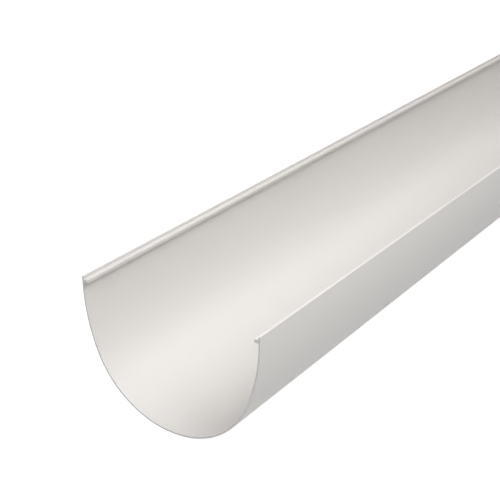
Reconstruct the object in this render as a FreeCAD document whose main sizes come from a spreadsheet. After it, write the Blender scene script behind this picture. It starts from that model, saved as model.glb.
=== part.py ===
import FreeCAD, Part
import math
import os
import Sketcher

# Deep-section rainwater gutter: one length of extruded PVC-U stock, all in one piece.
#
# A trough open at the top. Its bottom is a true round, its sides are flatter rounds that
# run tangent into it, and they end upright in two rims. Each rim carries a small square
# lip on its inner side, a little below the top edge, for brackets and unions to clip to.
#
# Frame: +X along the length, +Y across, +Z up. The origin is midway along the gutter, at
# the lowest line of its underside. All sizes are in millimetres.

# Driving dimensions: alias, value, and what it sets.
DIMENSIONS = (
    ("length", 2000, "piece of stock, sawn square at both ends"),
    ("width", 180, "across the outside of the rims"),
    ("side_height", 30, "side walls, from the centre of the bottom round up to the lips"),
    ("side_draw", 6, "how far a side wall draws in from its rim to the bottom round"),
    ("wall", 1.5, "wall thickness, the same all round"),
    ("lip_reach", 4, "how far a lip stands in from its wall"),
    ("lip_thickness", 3, "height of a lip, from its underside to its top"),
    ("rim_upstand", 3, "height of the rim above its lip"),
    ("edge_round", 0.2, "rounding of the rims' and lips' outer corners"),
    ("root_round", 0.2, "rounding in the corners where a lip meets its wall"),
)

# Sketcher numbers a curve's ends and centre up from 1, and the sketch's own axes down
# from -1. The start of the first axis is the sketch's origin.
START, END, CENTRE = range(1, 4)
HORIZONTAL_AXIS, VERTICAL_AXIS = range(-1, -3, -1)

# The section's lines and arcs, in the order in which they are drawn.
(OUTER_BOTTOM, OUTER_SIDE, RIM_OUTSIDE, RIM_TOP, RIM_INSIDE, LIP_TOP, LIP_NOSE,
 LIP_UNDERSIDE, INNER_SIDE, INNER_BOTTOM, MIDDLE_CUT) = range(11)


def make_sheet(doc):
    """The driving dimensions in a spreadsheet, one aliased cell each."""
    sheet = doc.addObject("Spreadsheet::Sheet", "Dimensions")
    for row, (alias, value, meaning) in enumerate(DIMENSIONS, start=1):
        sheet.set(f"A{row}", meaning)
        sheet.set(f"B{row}", str(value))
        sheet.setAlias(f"B{row}", alias)
    doc.recompute()
    return sheet


def origin_plane(body, role):
    """The body's own origin plane with this role."""
    return next(plane for plane in body.Origin.OriginFeatures if plane.Role == role)


def section_corners(sheet):
    """Corners of one rim and its lip as (y, z), from the outside of the rim inwards."""
    outer = sheet.width / 2
    inner = outer - sheet.wall
    nose = inner - sheet.lip_reach
    lip_underside = outer - sheet.side_draw + sheet.side_height
    lip_top = lip_underside + sheet.lip_thickness
    rim_top = lip_top + sheet.rim_upstand
    return {
        "rim_foot": (outer, lip_underside),
        "rim_top_outer": (outer, rim_top),
        "rim_top_inner": (inner, rim_top),
        "lip_root": (inner, lip_top),
        "nose_top": (nose, lip_top),
        "nose_bottom": (nose, lip_underside),
        "lip_foot": (inner, lip_underside),
    }


def arc(centre, radius, start_angle, end_angle):
    """Anticlockwise arc in the plane of the sketch."""
    circle = Part.Circle(FreeCAD.Vector(*centre, 0), FreeCAD.Vector(0, 0, 1), radius)
    return Part.ArcOfCircle(circle, start_angle, end_angle)


def line(start, end):
    """Straight line in the plane of the sketch."""
    return Part.LineSegment(FreeCAD.Vector(*start, 0), FreeCAD.Vector(*end, 0))


def draw_half_section(sketch, sheet):
    """Lines and arcs of one half of the section, from the middle of the bottom outwards."""
    corner = section_corners(sheet)
    bottom_radius = sheet.width / 2 - sheet.side_draw
    # Where the side round is upright at the rim and tangent to the bottom round, the
    # height and the draw of the side give the distance between the two centres.
    centre_distance = (sheet.side_height ** 2 + sheet.side_draw ** 2) / (2 * sheet.side_draw)
    side_radius = bottom_radius + centre_distance
    join = -math.asin(sheet.side_height / centre_distance)
    bottom_centre = (0, bottom_radius)
    side_centre = (sheet.width / 2 - side_radius, bottom_radius + sheet.side_height)
    lowest = -math.pi / 2

    sketch.addGeometry([
        arc(bottom_centre, bottom_radius, lowest, join),
        arc(side_centre, side_radius, join, 0),
        line(corner["rim_foot"], corner["rim_top_outer"]),
        line(corner["rim_top_outer"], corner["rim_top_inner"]),
        line(corner["rim_top_inner"], corner["lip_root"]),
        line(corner["lip_root"], corner["nose_top"]),
        line(corner["nose_top"], corner["nose_bottom"]),
        line(corner["nose_bottom"], corner["lip_foot"]),
        arc(side_centre, side_radius - sheet.wall, join, 0),
        arc(bottom_centre, bottom_radius - sheet.wall, lowest, join),
        line((0, sheet.wall), (0, 0)),
    ])


def shape_half_section(sketch):
    """Constraints that give the section its form, whatever its sizes."""
    rim_and_lip = range(RIM_OUTSIDE, LIP_UNDERSIDE + 1)
    corners = [(edge, END, following, START)
               for edge, following in zip(rim_and_lip, rim_and_lip[1:])]
    corners += [
        (LIP_UNDERSIDE, END, INNER_SIDE, END),
        (INNER_BOTTOM, START, MIDDLE_CUT, START),
        (MIDDLE_CUT, END, OUTER_BOTTOM, START),
        (MIDDLE_CUT, END, HORIZONTAL_AXIS, START),
    ]
    tangents = [
        (OUTER_BOTTOM, END, OUTER_SIDE, START),
        (OUTER_SIDE, END, RIM_OUTSIDE, START),
        (INNER_BOTTOM, END, INNER_SIDE, START),
    ]
    shared_centres = [
        (OUTER_BOTTOM, CENTRE, INNER_BOTTOM, CENTRE),
        (OUTER_SIDE, CENTRE, INNER_SIDE, CENTRE),
    ]
    sketch.addConstraint(
        [Sketcher.Constraint("Coincident", *ends) for ends in corners + shared_centres]
        + [Sketcher.Constraint("Tangent", *ends) for ends in tangents]
        + [Sketcher.Constraint("Vertical", edge) for edge in (RIM_OUTSIDE, RIM_INSIDE, LIP_NOSE)]
        + [Sketcher.Constraint("Horizontal", edge) for edge in (RIM_TOP, LIP_TOP, LIP_UNDERSIDE)]
        + [
            Sketcher.Constraint("PointOnObject", OUTER_BOTTOM, CENTRE, VERTICAL_AXIS),
            Sketcher.Constraint("PointOnObject", MIDDLE_CUT, START, VERTICAL_AXIS),
            Sketcher.Constraint("Horizontal", OUTER_SIDE, END, LIP_UNDERSIDE, END),
        ]
    )


def bind(sketch, name, expression, kind, *where):
    """Add a named dimension to the sketch and bind it to the spreadsheet."""
    value = sketch.evalExpression(expression)
    index = sketch.addConstraint(Sketcher.Constraint(kind, *where, value))
    sketch.renameConstraint(index, name)
    sketch.setExpression(f"Constraints.{name}", expression)


def size_half_section(sketch):
    """Dimensions of the half section, each bound to its cell."""
    bind(sketch, "half_width", "Dimensions.width / 2",
         "DistanceX", HORIZONTAL_AXIS, START, RIM_OUTSIDE, START)
    bind(sketch, "bottom_radius", "Dimensions.width / 2 - Dimensions.side_draw",
         "Radius", OUTER_BOTTOM)
    bind(sketch, "side_height", "Dimensions.side_height",
         "DistanceY", OUTER_BOTTOM, CENTRE, OUTER_SIDE, CENTRE)
    bind(sketch, "bottom_wall", "Dimensions.wall",
         "DistanceY", MIDDLE_CUT, END, MIDDLE_CUT, START)
    bind(sketch, "rim_wall", "Dimensions.wall",
         "DistanceX", RIM_TOP, END, RIM_TOP, START)
    bind(sketch, "rim_upstand", "Dimensions.rim_upstand",
         "DistanceY", RIM_INSIDE, END, RIM_INSIDE, START)
    bind(sketch, "lip_reach", "Dimensions.lip_reach",
         "DistanceX", LIP_TOP, END, LIP_TOP, START)
    bind(sketch, "lip_thickness", "Dimensions.lip_thickness",
         "DistanceY", LIP_NOSE, END, LIP_NOSE, START)


def edges_along(shape, length, places):
    """Names of the edges that run the whole length at these (y, z) places, on both sides."""
    tolerance = 0.001
    names = []
    for number, edge in enumerate(shape.Edges, start=1):
        middle = edge.BoundBox.Center
        runs_along = abs(edge.BoundBox.XLength - length) < tolerance
        if runs_along and any(math.hypot(abs(middle.y) - y, middle.z - z) < tolerance
                              for y, z in places):
            names.append(f"Edge{number}")
    return names


def round_edges(body, name, sheet, corners, radius):
    """Round the edges that run along these corners of the section, on both sides."""
    base = body.Tip
    edges = edges_along(base.Shape, sheet.length, corners)
    if len(edges) != 2 * len(corners):
        raise RuntimeError(f"{name} found {len(edges)} edges")
    rounding = body.newObject("PartDesign::Fillet", name)
    rounding.Base = (base, edges)
    rounding.setExpression("Radius", radius)
    body.Tip = rounding
    body.Document.recompute()


def make_gutter(doc, sheet):
    """The gutter: half its section extruded, mirrored, and its corners rounded."""
    body = doc.addObject("PartDesign::Body", "Gutter")
    body.Label = "gutter_section"

    sketch = body.newObject("Sketcher::SketchObject", "HalfSection")
    sketch.AttachmentSupport = (origin_plane(body, "YZ_Plane"), [""])
    sketch.MapMode = "FlatFace"
    draw_half_section(sketch, sheet)
    shape_half_section(sketch)
    size_half_section(sketch)

    half = body.newObject("PartDesign::Pad", "HalfExtrusion")
    half.Profile = sketch
    half.SideType = "Symmetric"
    half.setExpression("Length", "Dimensions.length")

    whole = body.newObject("PartDesign::Mirrored", "BothSides")
    whole.Originals = [half]
    whole.MirrorPlane = (origin_plane(body, "XZ_Plane"), [""])
    body.Tip = whole
    doc.recompute()

    corner = section_corners(sheet)
    outer_corners = [corner[name] for name in
                     ("rim_top_outer", "rim_top_inner", "nose_top", "nose_bottom")]
    round_edges(body, "OuterCorners", sheet, outer_corners, "Dimensions.edge_round")
    lip_corners = [corner["lip_root"], corner["lip_foot"]]
    round_edges(body, "LipCorners", sheet, lip_corners, "Dimensions.root_round")
    return body


def check(doc, body):
    """Stop if anything failed to compute, or if the gutter isn't one sound solid."""
    failed = [item.Name for item in doc.Objects if {"Invalid", "Error"} & set(item.State)]
    if failed:
        raise RuntimeError(f"failed to compute: {', '.join(failed)}")
    shape = body.Shape
    if shape.isNull() or not shape.isValid() or len(shape.Solids) != 1:
        raise RuntimeError(f"{body.Label} isn't one valid solid")


def main():
    doc = FreeCAD.newDocument("Gutter")
    sheet = make_sheet(doc)
    gutter = make_gutter(doc, sheet)
    check(doc, gutter)
    os.makedirs("parts", exist_ok=True)
    gutter.Shape.exportStep(f"parts/{gutter.Label}.step")


main()
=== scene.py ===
import math

import bmesh
import bpy
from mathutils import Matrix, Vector


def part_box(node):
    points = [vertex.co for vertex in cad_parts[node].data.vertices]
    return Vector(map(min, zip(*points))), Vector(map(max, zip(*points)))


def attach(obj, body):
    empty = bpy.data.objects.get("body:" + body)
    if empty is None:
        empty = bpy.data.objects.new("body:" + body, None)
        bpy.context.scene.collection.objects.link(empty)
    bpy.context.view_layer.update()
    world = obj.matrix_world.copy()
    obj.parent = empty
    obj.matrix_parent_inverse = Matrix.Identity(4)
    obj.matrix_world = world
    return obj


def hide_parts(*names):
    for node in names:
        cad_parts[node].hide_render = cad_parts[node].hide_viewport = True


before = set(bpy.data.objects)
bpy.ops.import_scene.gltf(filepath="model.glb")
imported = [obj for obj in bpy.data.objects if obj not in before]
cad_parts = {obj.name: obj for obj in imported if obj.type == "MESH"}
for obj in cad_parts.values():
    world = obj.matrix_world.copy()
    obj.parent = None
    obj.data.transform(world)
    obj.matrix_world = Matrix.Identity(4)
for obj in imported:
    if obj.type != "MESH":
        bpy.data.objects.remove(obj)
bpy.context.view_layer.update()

# A 2 m length of deep rainwater gutter, extruded in off-white PVC-U and sawn square.
# +X runs along it, +Y across and +Z up, with the origin under its middle. Metres.

MM = 0.001
NODE = "gutter_section"
NODE_LOW, NODE_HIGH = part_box(NODE)

# The section, as the die makes it.
LENGTH = NODE_HIGH.x - NODE_LOW.x
HALF_WIDTH = NODE_HIGH.y
DEPTH = NODE_HIGH.z
WALL = 1.5 * MM
SIDE_DRAW = 6 * MM
LIP_REACH = 4 * MM
LIP_THICKNESS = 3 * MM
RIM_UPSTAND = 3 * MM
EDGE_ROUND = 0.2 * MM
ROOT_ROUND = 0.2 * MM
BOTTOM_RADIUS = HALF_WIDTH - SIDE_DRAW
INNER_FACE = HALF_WIDTH - WALL
LIP_TOP = DEPTH - RIM_UPSTAND
LIP_UNDERSIDE = LIP_TOP - LIP_THICKNESS
LIP_NOSE = INNER_FACE - LIP_REACH
SIDE_HEIGHT = LIP_UNDERSIDE - BOTTOM_RADIUS
SIDE_RADIUS = BOTTOM_RADIUS + (SIDE_HEIGHT ** 2 + SIDE_DRAW ** 2) / (2 * SIDE_DRAW)
JOIN_ANGLE = math.asin(SIDE_HEIGHT / (SIDE_RADIUS - BOTTOM_RADIUS))

# How finely the rounds are cut into facets.
FACET_ANGLE = math.radians(1.5)
ROUND_SEGMENTS = 3
SMOOTH_ANGLE = math.radians(40)

# The camera stands off the near end, to the right of the gutter, and looks down along it.
CAMERA_FROM_NEAR_RIM = Vector((-0.6105, -0.5113, 0.4209))
CAMERA_HEADING = math.radians(35.20)
CAMERA_DIP = math.radians(25.17)
CAMERA_LENS = 81.92
SENSOR_WIDTH = 36

# The floor lights the gutter as pale grey paper would. It is looked at as a glow and a
# darker grey, which together are white and still show the gutter's shadow.
FLOOR_SIDE = 40
FLOOR_BOUNCE = "CACACA"
FLOOR_GLOW = 0.94
FLOOR_SHADOWED = "808080"

# The middle of the near end, which the lamps are aimed at.
LAMP_AIM = Vector((NODE_LOW.x, 0, 50 * MM))


# ---------------------------------------------------------------- modelling helpers

def edit(piece):
    """Start editing a piece, with nothing selected."""
    bpy.ops.object.select_all(action="DESELECT")
    bpy.context.view_layer.objects.active = piece
    piece.select_set(True)
    bpy.ops.object.mode_set(mode="EDIT")
    bpy.ops.mesh.select_mode(type="VERT")
    bpy.ops.mesh.select_all(action="DESELECT")


def done():
    """Stop editing."""
    bpy.ops.object.mode_set(mode="OBJECT")


def pick(piece, wanted, mode="VERT"):
    """Select, in edit mode, just the vertices, edges or faces whose middle is wanted."""
    bpy.ops.mesh.select_mode(type=mode)
    bpy.ops.mesh.select_all(action="DESELECT")
    mesh = bmesh.from_edit_mesh(piece.data)
    parts = {"VERT": mesh.verts, "EDGE": mesh.edges, "FACE": mesh.faces}[mode]
    for part in parts:
        if mode == "VERT":
            middle = part.co
        else:
            middle = sum((corner.co for corner in part.verts), Vector()) / len(part.verts)
        if wanted(part, middle):
            part.select_set(True)
    mesh.select_flush_mode()
    bmesh.update_edit_mesh(piece.data)


def near(value, target, tolerance=0.01 * MM):
    """Whether two lengths agree."""
    return abs(value - target) < tolerance


def extrude(*offset):
    """Extrude what is selected by this offset."""
    bpy.ops.mesh.extrude_region_move(TRANSFORM_OT_translate={"value": offset})


def spin(centre_y, centre_z, angle):
    """Sweep what is selected from +Y up towards +Z, in steps of about one facet."""
    bpy.ops.mesh.spin(
        steps=math.ceil(angle / FACET_ANGLE),
        angle=angle,
        center=(NODE_LOW.x, centre_y, centre_z),
        axis=(-1, 0, 0),
    )


def apply_modifier(piece, kind, **settings):
    """Add a modifier to a piece and apply it."""
    modifier = piece.modifiers.new(kind.title(), kind)
    for name, value in settings.items():
        setattr(modifier, name, value)
    bpy.context.view_layer.objects.active = piece
    bpy.ops.object.modifier_apply(modifier=modifier.name)


# ------------------------------------------------------------------------- the gutter

def draw_half_section(piece):
    """Draw one half of the section at the near end: bottom round, side round, rim, lip."""
    edit(piece)
    # The plane is one wall thick. Its far edge is brought to the middle of the bottom and
    # swept up the bottom round and the side round, then drawn straight up into the rim.
    pick(piece, lambda vert, at: at.y < 0)
    bpy.ops.mesh.delete(type="VERT")
    pick(piece, lambda vert, at: True)
    bpy.ops.transform.translate(value=(0, -WALL / 2, 0))
    spin(0, BOTTOM_RADIUS, math.pi / 2 - JOIN_ANGLE)
    spin(HALF_WIDTH - SIDE_RADIUS, LIP_UNDERSIDE, JOIN_ANGLE)
    extrude(0, 0, LIP_THICKNESS)
    extrude(0, 0, RIM_UPSTAND)
    # The lip grows inwards from the lower of the two straight stretches.
    lip_middle = (LIP_UNDERSIDE + LIP_TOP) / 2
    pick(piece, lambda edge, at: near(at.y, INNER_FACE) and near(at.z, lip_middle), "EDGE")
    extrude(0, -LIP_REACH, 0)
    done()


def runs_along(edge):
    """Whether an edge runs the length of the gutter."""
    return near((edge.verts[0].co - edge.verts[1].co).length, LENGTH)


def round_corners(piece, corners, radius):
    """Round the edges that run along these (y, z) corners of the section, on both sides."""
    def wanted(edge, at):
        return runs_along(edge) and any(
            near(abs(at.y), y) and near(at.z, z) for y, z in corners)

    edit(piece)
    pick(piece, wanted, "EDGE")
    bpy.ops.mesh.bevel(offset=radius, segments=ROUND_SEGMENTS, affect="EDGES")
    done()


def make_gutter():
    """The whole extrusion, from its section, with a sawn face at each end."""
    bpy.ops.mesh.primitive_plane_add(
        size=WALL, location=(NODE_LOW.x, 0, WALL / 2), rotation=(0, math.pi / 2, 0))
    gutter = bpy.context.active_object
    gutter.name = "gutter"
    bpy.ops.object.transform_apply(location=True, rotation=True, scale=True)
    draw_half_section(gutter)
    apply_modifier(gutter, "MIRROR", use_axis=(False, True, False), merge_threshold=0.01 * MM)

    edit(gutter)
    pick(gutter, lambda face, at: True, "FACE")
    extrude(LENGTH, 0, 0)
    bpy.ops.mesh.select_all(action="SELECT")
    bpy.ops.mesh.normals_make_consistent(inside=False)
    done()

    round_corners(gutter, [(HALF_WIDTH, DEPTH), (INNER_FACE, DEPTH),
                           (LIP_NOSE, LIP_TOP), (LIP_NOSE, LIP_UNDERSIDE)], EDGE_ROUND)
    round_corners(gutter, [(INNER_FACE, LIP_TOP), (INNER_FACE, LIP_UNDERSIDE)], ROOT_ROUND)
    bpy.ops.object.shade_smooth_by_angle(angle=SMOOTH_ANGLE)
    # The flats keep their own normals right up to the rounds beside them.
    apply_modifier(gutter, "WEIGHTED_NORMAL", keep_sharp=True)
    return gutter


# -------------------------------------------------------------------------- materials

def colour(hex_value):
    """Linear colour of an sRGB hex value such as "F2EFEA"."""
    def to_linear(channel):
        if channel <= 0.04045:
            return channel / 12.92
        return ((channel + 0.055) / 1.055) ** 2.4

    channels = [int(hex_value[start:start + 2], 16) / 255 for start in (0, 2, 4)]
    return (*map(to_linear, channels), 1)


def add_node(tree, kind, settings=None, links=None, **attributes):
    """Add a shader node: its attributes, its sockets' values and what they are linked to."""
    node = tree.nodes.new(kind)
    for name, value in attributes.items():
        setattr(node, name, value)
    for socket, value in (settings or {}).items():
        node.inputs[socket].default_value = value
    for socket, source in (links or {}).items():
        tree.links.new(source, node.inputs[socket])
    return node


def new_material(name):
    """A material with an empty node tree and an output."""
    material = bpy.data.materials.new(name)
    material.use_nodes = True
    tree = material.node_tree
    tree.nodes.clear()
    return material, tree, add_node(tree, "ShaderNodeOutputMaterial")


def extruded_pvc():
    """Off-white PVC-U as it leaves the die and the vacuum sizer.

    The skin is even and nearly matt, with a broad soft highlight. Along the length it has
    faint drawn lines that only show where light grazes them, and the pigment's tone
    drifts very slightly.
    """
    material, tree, output = new_material("extruded PVC-U, off-white")
    place = add_node(tree, "ShaderNodeTexCoord")
    # Real drawn lines are often finer than this, and would be too fine to show.
    line_length, line_spacing = 400 * MM, 0.6 * MM
    drawn = add_node(tree, "ShaderNodeMapping",
                     {"Scale": (1 / line_length, 1 / line_spacing, 1 / line_spacing)},
                     {"Vector": place.outputs["Object"]})
    lines = add_node(tree, "ShaderNodeTexNoise",
                     {"Scale": 1.0, "Detail": 2.0, "Roughness": 0.5},
                     {"Vector": drawn.outputs["Vector"]})
    drift_length, drift_width = 150 * MM, 30 * MM
    drifting = add_node(tree, "ShaderNodeMapping",
                        {"Scale": (1 / drift_length, 1 / drift_width, 1 / drift_width)},
                        {"Vector": place.outputs["Object"]})
    drift = add_node(tree, "ShaderNodeTexNoise",
                     {"Scale": 1.0, "Detail": 3.0, "Roughness": 0.5},
                     {"Vector": drifting.outputs["Vector"]})
    tone = add_node(tree, "ShaderNodeMix", {"A": colour("DEDBD8"), "B": colour("E2DFDC")},
                    {"Factor": drift.outputs["Fac"]}, data_type="RGBA")
    gloss = add_node(tree, "ShaderNodeMapRange", {"To Min": 0.47, "To Max": 0.55},
                     {"Value": lines.outputs["Fac"]})
    relief = add_node(tree, "ShaderNodeBump", {"Strength": 0.1, "Distance": 0.01 * MM},
                      {"Height": lines.outputs["Fac"]})
    plastic = add_node(tree, "ShaderNodeBsdfPrincipled", {"IOR": 1.54},
                       {"Base Color": tone.outputs["Result"],
                        "Roughness": gloss.outputs["Result"],
                        "Normal": relief.outputs["Normal"]})
    tree.links.new(plastic.outputs["BSDF"], output.inputs["Surface"])
    return material


def sawn_pvc_with_painted_shade():
    """The same PVC-U where a fine saw has cut it square.

    The blade takes the skin's gloss away and leaves a matt face, greyer than the walls
    beside it, with faint upright marks where its teeth came through. The grey is partly the
    saw's duller face and partly painted shade, for an end that faces away from the lamps.
    """
    material, tree, output = new_material("sawn PVC-U, off-white, with painted shade")
    place = add_node(tree, "ShaderNodeTexCoord")
    mark_spacing, mark_length = 0.8 * MM, 30 * MM
    across = add_node(tree, "ShaderNodeMapping",
                      {"Scale": (1.0, 1 / mark_spacing, 1 / mark_length)},
                      {"Vector": place.outputs["Object"]})
    marks = add_node(tree, "ShaderNodeTexNoise",
                     {"Scale": 1.0, "Detail": 2.0, "Roughness": 0.6},
                     {"Vector": across.outputs["Vector"]})
    # The sawn face's grey is partly its duller finish and partly painted shade, for an end
    # that faces away from the lamps.
    tone = add_node(tree, "ShaderNodeMix", {"A": colour("C8C8C8"), "B": colour("D2D2D2")},
                    {"Factor": marks.outputs["Fac"]}, data_type="RGBA")
    relief = add_node(tree, "ShaderNodeBump", {"Strength": 0.3, "Distance": 0.05 * MM},
                      {"Height": marks.outputs["Fac"]})
    plastic = add_node(tree, "ShaderNodeBsdfPrincipled", {"Roughness": 0.65, "IOR": 1.54},
                       {"Base Color": tone.outputs["Result"],
                        "Normal": relief.outputs["Normal"]})
    tree.links.new(plastic.outputs["BSDF"], output.inputs["Surface"])
    return material


def dress(piece):
    """Give the piece the skin that the die leaves, and its two ends the saw's finish with
    painted shade.
    """
    piece.data.materials.append(extruded_pvc())
    piece.data.materials.append(sawn_pvc_with_painted_shade())
    edit(piece)
    pick(piece, lambda face, at: near(abs(at.x), NODE_HIGH.x), "FACE")
    piece.active_material_index = 1
    bpy.ops.object.material_slot_assign()
    done()


def looked_at(tree):
    """1 for rays that look straight, by reflection or through, and 0 for rays that light."""
    rays = add_node(tree, "ShaderNodeLightPath")
    direct = add_node(tree, "ShaderNodeMath", {}, {0: rays.outputs["Is Camera Ray"],
                                                   1: rays.outputs["Is Glossy Ray"]},
                      operation="MAXIMUM")
    either = add_node(tree, "ShaderNodeMath", {}, {0: direct.outputs["Value"],
                                                   1: rays.outputs["Is Transmission Ray"]},
                      operation="MAXIMUM")
    return either.outputs["Value"]


def studio_floor():
    """White paper. It is looked at as white, with the gutter's soft shadow left on it."""
    material, tree, output = new_material("white paper floor")
    paper = add_node(tree, "ShaderNodeBsdfDiffuse", {"Color": colour(FLOOR_BOUNCE)})
    shadowed = add_node(tree, "ShaderNodeBsdfDiffuse", {"Color": colour(FLOOR_SHADOWED)})
    glow = add_node(tree, "ShaderNodeEmission", {"Strength": FLOOR_GLOW})
    white = add_node(tree, "ShaderNodeAddShader", {},
                     {0: shadowed.outputs["BSDF"], 1: glow.outputs["Emission"]})
    seen = add_node(tree, "ShaderNodeMixShader", {},
                    {0: looked_at(tree), 1: paper.outputs["BSDF"], 2: white.outputs["Shader"]})
    tree.links.new(seen.outputs["Shader"], output.inputs["Surface"])
    return material


# ------------------------------------------------------------------------------- stage

def make_floor():
    """A pale floor under the gutter."""
    bpy.ops.mesh.primitive_plane_add(size=FLOOR_SIDE, location=(0, 0, NODE_LOW.z))
    floor = bpy.context.active_object
    floor.name = "floor"
    floor.data.materials.append(studio_floor())


def soft_box(name, heading, rise, distance, side, power):
    """A square area lamp that stands off the near end and faces it.

    heading is in degrees anticlockwise from +X, and rise in degrees above the horizon.
    distance and side are in metres, and power is in watts.
    """
    turn, tilt = math.radians(heading), math.radians(rise)
    towards = Vector((math.cos(tilt) * math.cos(turn), math.cos(tilt) * math.sin(turn),
                      math.sin(tilt)))
    lamp_data = bpy.data.lights.new(name, "AREA")
    lamp_data.shape = "SQUARE"
    lamp_data.size = side
    lamp_data.energy = power
    lamp = bpy.data.objects.new(name, lamp_data)
    bpy.context.scene.collection.objects.link(lamp)
    lamp.location = LAMP_AIM + towards * distance
    lamp.rotation_euler = towards.to_track_quat("Z", "Y").to_euler()


def make_camera():
    """The camera, looking down along the gutter from beyond its near end."""
    camera_data = bpy.data.cameras.new("camera")
    camera_data.lens = CAMERA_LENS
    camera_data.sensor_width = SENSOR_WIDTH
    camera = bpy.data.objects.new("camera", camera_data)
    bpy.context.scene.collection.objects.link(camera)
    camera.location = Vector((NODE_LOW.x, 0, DEPTH)) + CAMERA_FROM_NEAR_RIM
    camera.rotation_euler = (math.pi / 2 - CAMERA_DIP, 0, CAMERA_HEADING - math.pi / 2)
    bpy.context.scene.camera = camera


def make_world():
    """Surroundings that are looked at as white, and give no light of their own."""
    world = bpy.data.worlds.new("studio")
    bpy.context.scene.world = world
    world.use_nodes = True
    tree = world.node_tree
    tree.nodes.clear()
    output = add_node(tree, "ShaderNodeOutputWorld")
    white = add_node(tree, "ShaderNodeBackground", {"Color": (1, 1, 1, 1)},
                     {"Strength": looked_at(tree)})
    tree.links.new(white.outputs["Background"], output.inputs["Surface"])


gutter = make_gutter()
dress(gutter)
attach(gutter, "root")
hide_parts(NODE)

make_floor()
make_world()
soft_box("key light", 255, 65, 1.7, 1.0, 5.6)
soft_box("side light", 270, 50, 1.7, 1.0, 14.1)
soft_box("end light", 180, 40, 2.5, 1.4, 30)
soft_box("top light", 315, 60, 2.5, 1.4, 12)
soft_box("back light", 38, 27, 2.5, 1.0, 11)
soft_box("rear light", 75, 6, 3, 0.6, 20)
make_camera()
bpy.context.scene.view_settings.view_transform = "Standard"
